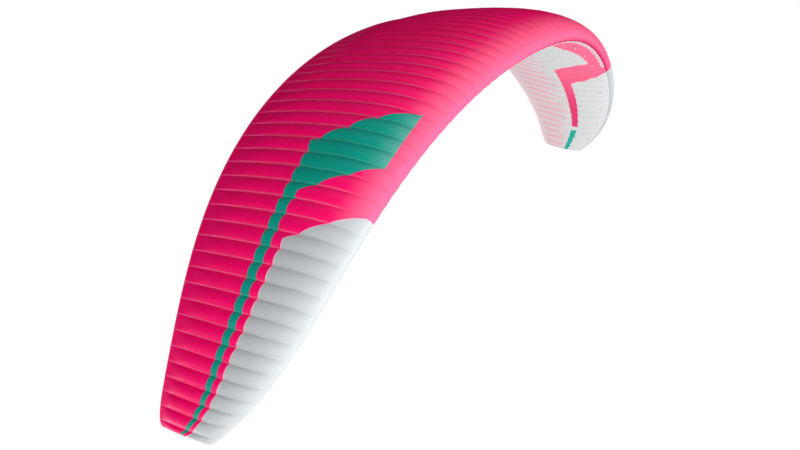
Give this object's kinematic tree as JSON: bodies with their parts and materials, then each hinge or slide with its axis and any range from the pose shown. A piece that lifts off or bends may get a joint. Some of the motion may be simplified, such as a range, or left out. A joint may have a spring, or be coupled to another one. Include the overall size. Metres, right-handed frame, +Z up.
{
  "type": "paraglider canopy",
  "caption": "Inflated arched paraglider wing of air-filled cells, with nose intakes, ribs and hinged brake flaps along its trailing edge.",
  "frame": {"origin": "on the lower skin under the middle rib, at 30 % of its chord, where the wing's lift holds it up", "axes": "+Z up, -Y towards the nose in flight, +X towards the pilot's left wing tip"},
  "size_m": [9.6834, 2.2646, 3.0762],
  "materials": {
    "upper_cloth": "satin coated ripstop",
    "lower_cloth": "satin coated ripstop",
    "rib_cloth": "hard-finish rib cloth"
  },
  "bodies": {
    "canopy": {"lower_skin_centre": "lower_cloth", "lower_skin_left_far": "lower_cloth", "lower_skin_left_inner": "lower_cloth", "lower_skin_left_middle": "lower_cloth", "lower_skin_left_outer": "lower_cloth", "lower_skin_left_tip": "lower_cloth", "lower_skin_right_far": "lower_cloth", "lower_skin_right_inner": "lower_cloth", "lower_skin_right_middle": "lower_cloth", "lower_skin_right_outer": "lower_cloth", "lower_skin_right_tip": "lower_cloth", "ribs_centre": "rib_cloth", "ribs_left_far": "rib_cloth", "ribs_left_inner": "rib_cloth", "ribs_left_middle": "rib_cloth", "ribs_left_outer": "rib_cloth", "ribs_left_tip": "rib_cloth", "ribs_right_far": "rib_cloth", "ribs_right_inner": "rib_cloth", "ribs_right_middle": "rib_cloth", "ribs_right_outer": "rib_cloth", "ribs_right_tip": "rib_cloth", "upper_skin_centre": "upper_cloth", "upper_skin_left_far": "upper_cloth", "upper_skin_left_inner": "upper_cloth", "upper_skin_left_middle": "upper_cloth", "upper_skin_left_outer": "upper_cloth", "upper_skin_left_tip": "upper_cloth", "upper_skin_right_far": "upper_cloth", "upper_skin_right_inner": "upper_cloth", "upper_skin_right_middle": "upper_cloth", "upper_skin_right_outer": "upper_cloth", "upper_skin_right_tip": "upper_cloth"},
    "brake_flap_left_1": {"brake_flap_left_1": "upper_cloth"},
    "brake_flap_left_2": {"brake_flap_left_2": "upper_cloth"},
    "brake_flap_left_3": {"brake_flap_left_3": "upper_cloth"},
    "brake_flap_left_4": {"brake_flap_left_4": "upper_cloth"},
    "brake_flap_left_5": {"brake_flap_left_5": "upper_cloth"},
    "brake_flap_left_6": {"brake_flap_left_6": "upper_cloth"},
    "brake_flap_left_7": {"brake_flap_left_7": "upper_cloth"},
    "brake_flap_left_8": {"brake_flap_left_8": "upper_cloth"},
    "brake_flap_right_1": {"brake_flap_right_1": "upper_cloth"},
    "brake_flap_right_2": {"brake_flap_right_2": "upper_cloth"},
    "brake_flap_right_3": {"brake_flap_right_3": "upper_cloth"},
    "brake_flap_right_4": {"brake_flap_right_4": "upper_cloth"},
    "brake_flap_right_5": {"brake_flap_right_5": "upper_cloth"},
    "brake_flap_right_6": {"brake_flap_right_6": "upper_cloth"},
    "brake_flap_right_7": {"brake_flap_right_7": "upper_cloth"},
    "brake_flap_right_8": {"brake_flap_right_8": "upper_cloth"}
  },
  "joints": [
    {"name": "brake_left_1", "type": "hinge", "parent": "canopy", "child": "brake_flap_left_1", "pos_m": [0.87426, 1.16711, 0.21066], "axis": [-0.9922, -0.0016, 0.1244], "range_deg": [0, 30], "stiffness_Nm_per_rad": 2, "springref_deg": -34.38},
    {"name": "brake_left_2", "type": "hinge", "parent": "canopy", "child": "brake_flap_left_2", "pos_m": [1.44545, 1.16535, 0.11036], "axis": [-0.9751, 0.0077, 0.2215], "range_deg": [0, 30], "stiffness_Nm_per_rad": 2, "springref_deg": -34.38},
    {"name": "brake_left_3", "type": "hinge", "parent": "canopy", "child": "brake_flap_left_3", "pos_m": [1.99646, 1.15623, -0.04589], "axis": [-0.9457, 0.0242, 0.324], "range_deg": [0, 30], "stiffness_Nm_per_rad": 2, "springref_deg": -34.38},
    {"name": "brake_left_4", "type": "hinge", "parent": "canopy", "child": "brake_flap_left_4", "pos_m": [2.51751, 1.13621, -0.257], "axis": [-0.9033, 0.0472, 0.4264], "range_deg": [0, 30], "stiffness_Nm_per_rad": 2, "springref_deg": -34.38},
    {"name": "brake_left_5", "type": "hinge", "parent": "canopy", "child": "brake_flap_left_5", "pos_m": [2.9997, 1.10296, -0.51813], "axis": [-0.8485, 0.0741, 0.524], "range_deg": [0, 30], "stiffness_Nm_per_rad": 2, "springref_deg": -34.38},
    {"name": "brake_left_6", "type": "hinge", "parent": "canopy", "child": "brake_flap_left_6", "pos_m": [3.4358, 1.05692, -0.82159], "axis": [-0.7833, 0.0987, 0.6137], "range_deg": [0, 30], "stiffness_Nm_per_rad": 2, "springref_deg": -34.38},
    {"name": "brake_left_7", "type": "hinge", "parent": "canopy", "child": "brake_flap_left_7", "pos_m": [3.82063, 1.00311, -1.15789], "axis": [-0.7106, 0.1106, 0.6948], "range_deg": [0, 30], "stiffness_Nm_per_rad": 2, "springref_deg": -34.38},
    {"name": "brake_left_8", "type": "hinge", "parent": "canopy", "child": "brake_flap_left_8", "pos_m": [4.15098, 0.9524, -1.51672], "axis": [-0.6327, 0.0955, 0.7685], "range_deg": [0, 30], "stiffness_Nm_per_rad": 2, "springref_deg": -34.38},
    {"name": "brake_right_1", "type": "hinge", "parent": "canopy", "child": "brake_flap_right_1", "pos_m": [-0.87426, 1.16711, 0.21066], "axis": [-0.9922, 0.0016, -0.1244], "range_deg": [0, 30], "stiffness_Nm_per_rad": 2, "springref_deg": -34.38},
    {"name": "brake_right_2", "type": "hinge", "parent": "canopy", "child": "brake_flap_right_2", "pos_m": [-1.44545, 1.16535, 0.11036], "axis": [-0.9751, -0.0077, -0.2215], "range_deg": [0, 30], "stiffness_Nm_per_rad": 2, "springref_deg": -34.38},
    {"name": "brake_right_3", "type": "hinge", "parent": "canopy", "child": "brake_flap_right_3", "pos_m": [-1.99646, 1.15623, -0.04589], "axis": [-0.9457, -0.0242, -0.324], "range_deg": [0, 30], "stiffness_Nm_per_rad": 2, "springref_deg": -34.38},
    {"name": "brake_right_4", "type": "hinge", "parent": "canopy", "child": "brake_flap_right_4", "pos_m": [-2.51751, 1.13621, -0.257], "axis": [-0.9033, -0.0472, -0.4264], "range_deg": [0, 30], "stiffness_Nm_per_rad": 2, "springref_deg": -34.38},
    {"name": "brake_right_5", "type": "hinge", "parent": "canopy", "child": "brake_flap_right_5", "pos_m": [-2.9997, 1.10296, -0.51813], "axis": [-0.8485, -0.0741, -0.524], "range_deg": [0, 30], "stiffness_Nm_per_rad": 2, "springref_deg": -34.38},
    {"name": "brake_right_6", "type": "hinge", "parent": "canopy", "child": "brake_flap_right_6", "pos_m": [-3.4358, 1.05692, -0.82159], "axis": [-0.7833, -0.0987, -0.6137], "range_deg": [0, 30], "stiffness_Nm_per_rad": 2, "springref_deg": -34.38},
    {"name": "brake_right_7", "type": "hinge", "parent": "canopy", "child": "brake_flap_right_7", "pos_m": [-3.82063, 1.00311, -1.15789], "axis": [-0.7106, -0.1106, -0.6948], "range_deg": [0, 30], "stiffness_Nm_per_rad": 2, "springref_deg": -34.38},
    {"name": "brake_right_8", "type": "hinge", "parent": "canopy", "child": "brake_flap_right_8", "pos_m": [-4.15098, 0.9524, -1.51672], "axis": [-0.6327, -0.0955, -0.7685], "range_deg": [0, 30], "stiffness_Nm_per_rad": 2, "springref_deg": -34.38}
  ],
  "couplings": [
    {"joint": "brake_left_1", "follows": "brake_left_4", "ratio": 1},
    {"joint": "brake_left_2", "follows": "brake_left_4", "ratio": 1},
    {"joint": "brake_left_3", "follows": "brake_left_4", "ratio": 1},
    {"joint": "brake_left_5", "follows": "brake_left_4", "ratio": 1},
    {"joint": "brake_left_6", "follows": "brake_left_4", "ratio": 1},
    {"joint": "brake_left_7", "follows": "brake_left_4", "ratio": 1},
    {"joint": "brake_left_8", "follows": "brake_left_4", "ratio": 1},
    {"joint": "brake_right_1", "follows": "brake_right_4", "ratio": 1},
    {"joint": "brake_right_2", "follows": "brake_right_4", "ratio": 1},
    {"joint": "brake_right_3", "follows": "brake_right_4", "ratio": 1},
    {"joint": "brake_right_5", "follows": "brake_right_4", "ratio": 1},
    {"joint": "brake_right_6", "follows": "brake_right_4", "ratio": 1},
    {"joint": "brake_right_7", "follows": "brake_right_4", "ratio": 1},
    {"joint": "brake_right_8", "follows": "brake_right_4", "ratio": 1}
  ]
}
